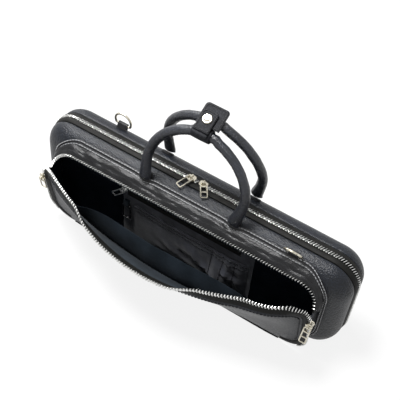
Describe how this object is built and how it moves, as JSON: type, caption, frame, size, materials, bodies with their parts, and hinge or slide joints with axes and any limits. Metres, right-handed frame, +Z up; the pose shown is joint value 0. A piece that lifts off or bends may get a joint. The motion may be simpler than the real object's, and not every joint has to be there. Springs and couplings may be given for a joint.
{
  "type": "zip-around flute case",
  "caption": "Zip-around black leather flute case standing on its long edge, with an open front pocket, two rolled handles joined by a snap grip, D rings, and a fitted insert for the joints",
  "frame": {"origin": "middle of the flat foot, on the parting plane of the two shells", "axes": "+X along the case, +Z up to the handles, -Y out of the front pocket"},
  "size_m": [0.4318, 0.1525, 0.2519],
  "materials": {
    "shell_leather": "satin black pebbled",
    "handle_leather": "satin black pebbled",
    "trim_leather": "satin black",
    "zip_tape": "smooth woven",
    "zip_teeth": "polished",
    "pale_hardware": "warm nickel plated",
    "dark_hardware": "black nickel plated",
    "clip_plastic": "gloss black",
    "pocket_cloth": "matt woven black",
    "insert_plush": "short pile black"
  },
  "bodies": {
    "case_back": {"back_shell": "shell_leather", "back_zip_band": "zip_tape", "back_zip_teeth": "zip_teeth", "flute_insert": "insert_plush", "spine_strip": "trim_leather", "back_handle_tab_left": "trim_leather", "back_handle_tab_right": "trim_leather", "back_ring_tab": "trim_leather"},
    "lid": {"front_shell": "shell_leather", "front_zip_band": "zip_tape", "front_zip_teeth": "zip_teeth", "lid_lining": "insert_plush", "pocket_piping": "trim_leather", "pocket_gusset": "shell_leather", "pocket_back_teeth": "zip_teeth", "pocket_lining": "pocket_cloth", "inner_zip_tape": "zip_tape", "organiser_pocket": "pocket_cloth", "key_strap": "pocket_cloth", "front_handle_tab_left": "trim_leather", "front_handle_tab_right": "trim_leather", "front_ring_tab": "trim_leather", "pocket_floor": "shell_leather", "pocket_fold_left": "shell_leather", "pocket_fold_right": "shell_leather"},
    "pocket_panel": {"pocket_front_panel": "shell_leather", "pocket_front_band": "zip_tape", "pocket_front_teeth": "zip_teeth", "pocket_chain_left": "zip_teeth", "pocket_chain_right": "zip_teeth", "slip_pocket": "pocket_cloth"},
    "front_handle": {"front_handle": "handle_leather", "grip_sleeve": "handle_leather"},
    "grip_flap": {"grip_flap": "handle_leather", "snap_cap": "pale_hardware"},
    "back_handle": {"back_handle": "handle_leather", "grip_saddle": "handle_leather", "snap_stud": "pale_hardware"},
    "main_slider_left": {"main_slider_left": "pale_hardware"},
    "main_slider_right": {"main_slider_right": "pale_hardware"},
    "main_pull_left": {"main_pull_left": "pale_hardware"},
    "main_pull_right": {"main_pull_right": "pale_hardware"},
    "pocket_slider_left": {"pocket_slider_left": "pale_hardware"},
    "pocket_slider_right": {"pocket_slider_right": "pale_hardware"},
    "pocket_pull_left": {"pocket_pull_left": "pale_hardware"},
    "pocket_pull_right": {"pocket_pull_right": "pale_hardware"},
    "back_ring": {"back_ring": "pale_hardware"},
    "front_ring": {"front_ring": "pale_hardware"},
    "inner_slider": {"inner_slider": "dark_hardware"},
    "inner_pull": {"inner_pull": "dark_hardware"},
    "key_clip": {"key_clip": "clip_plastic"}
  },
  "joints": [
    {"name": "lid_hinge", "type": "hinge", "parent": "case_back", "child": "lid", "pos_m": [0, 0, 0.0008], "axis": [1, 0, 0], "range_deg": [0, 110], "deforming": ["front_zip_teeth", "back_zip_teeth"]},
    {"name": "pocket_lean", "type": "hinge", "parent": "lid", "child": "pocket_panel", "pos_m": [0, -0.05, 0.006], "axis": [1, 0, 0], "range_deg": [-4, 25], "deforming": ["pocket_fold_left", "pocket_fold_right", "pocket_chain_left", "pocket_chain_right"]},
    {"name": "front_handle_swing", "type": "hinge", "parent": "lid", "child": "front_handle", "pos_m": [0, -0.02648, 0.13876], "axis": [1, 0, 0], "range_deg": [0, 100]},
    {"name": "back_handle_swing", "type": "hinge", "parent": "case_back", "child": "back_handle", "pos_m": [0, 0.02648, 0.13876], "axis": [-1, 0, 0], "range_deg": [0, 120]},
    {"name": "grip_flap_lift", "type": "hinge", "parent": "front_handle", "child": "grip_flap", "pos_m": [0, -0.01396, 0.23971], "axis": [1, 0, 0], "range_deg": [0, 140]},
    {"name": "main_zip_left", "type": "slide", "parent": "case_back", "child": "main_slider_left", "axis": [1, 0, 0], "range_m": [-0.16, 0], "deforming": ["front_zip_teeth", "back_zip_teeth"]},
    {"name": "main_pull_swing_left", "type": "hinge", "parent": "main_slider_left", "child": "main_pull_left", "pos_m": [-0.0125, 0, 0.143], "axis": [-0.9205, 0.3907, 0], "range_deg": [0, 190]},
    {"name": "main_zip_right", "type": "slide", "parent": "case_back", "child": "main_slider_right", "axis": [1, 0, 0], "range_m": [0, 0.165], "deforming": ["front_zip_teeth", "back_zip_teeth"]},
    {"name": "main_pull_swing_right", "type": "hinge", "parent": "main_slider_right", "child": "main_pull_right", "pos_m": [0.0035, 0, 0.143], "axis": [-0.8192, -0.5736, 0], "range_deg": [0, 190]},
    {"name": "pocket_zip_left", "type": "slide", "parent": "pocket_panel", "child": "pocket_slider_left", "axis": [0, 0.1478, -0.989], "range_m": [0, 0.038], "deforming": ["pocket_chain_left", "pocket_fold_left"]},
    {"name": "pocket_pull_swing_left", "type": "hinge", "parent": "pocket_slider_left", "child": "pocket_pull_left", "pos_m": [-0.188, -0.06687, 0.08437], "axis": [-1, 0, 0], "range_deg": [0, 110]},
    {"name": "pocket_zip_right", "type": "slide", "parent": "pocket_panel", "child": "pocket_slider_right", "axis": [0, 0.1478, -0.989], "range_m": [0, 0.038], "deforming": ["pocket_chain_right", "pocket_fold_right"]},
    {"name": "pocket_pull_swing_right", "type": "hinge", "parent": "pocket_slider_right", "child": "pocket_pull_right", "pos_m": [0.188, -0.06687, 0.08437], "axis": [-1, 0, 0], "range_deg": [0, 110]},
    {"name": "back_ring_swing", "type": "hinge", "parent": "case_back", "child": "back_ring", "pos_m": [-0.129, 0.02464, 0.13877], "axis": [1, 0, 0], "range_deg": [-70, 70]},
    {"name": "front_ring_swing", "type": "hinge", "parent": "lid", "child": "front_ring", "pos_m": [0.138, -0.02339, 0.13648], "axis": [1, 0, 0], "range_deg": [-60, 30]},
    {"name": "inner_zip", "type": "slide", "parent": "lid", "child": "inner_slider", "axis": [1, 0, 0], "range_m": [0, 0.15]},
    {"name": "inner_pull_swing", "type": "hinge", "parent": "inner_slider", "child": "inner_pull", "pos_m": [-0.084, -0.0375, 0.1045], "axis": [-0.7431, 0, 0.6691], "range_deg": [0, 150]},
    {"name": "key_clip_swing", "type": "hinge", "parent": "lid", "child": "key_clip", "pos_m": [-0.081, -0.0356, 0.076], "axis": [-1, 0, 0], "range_deg": [0, 90]}
  ]
}
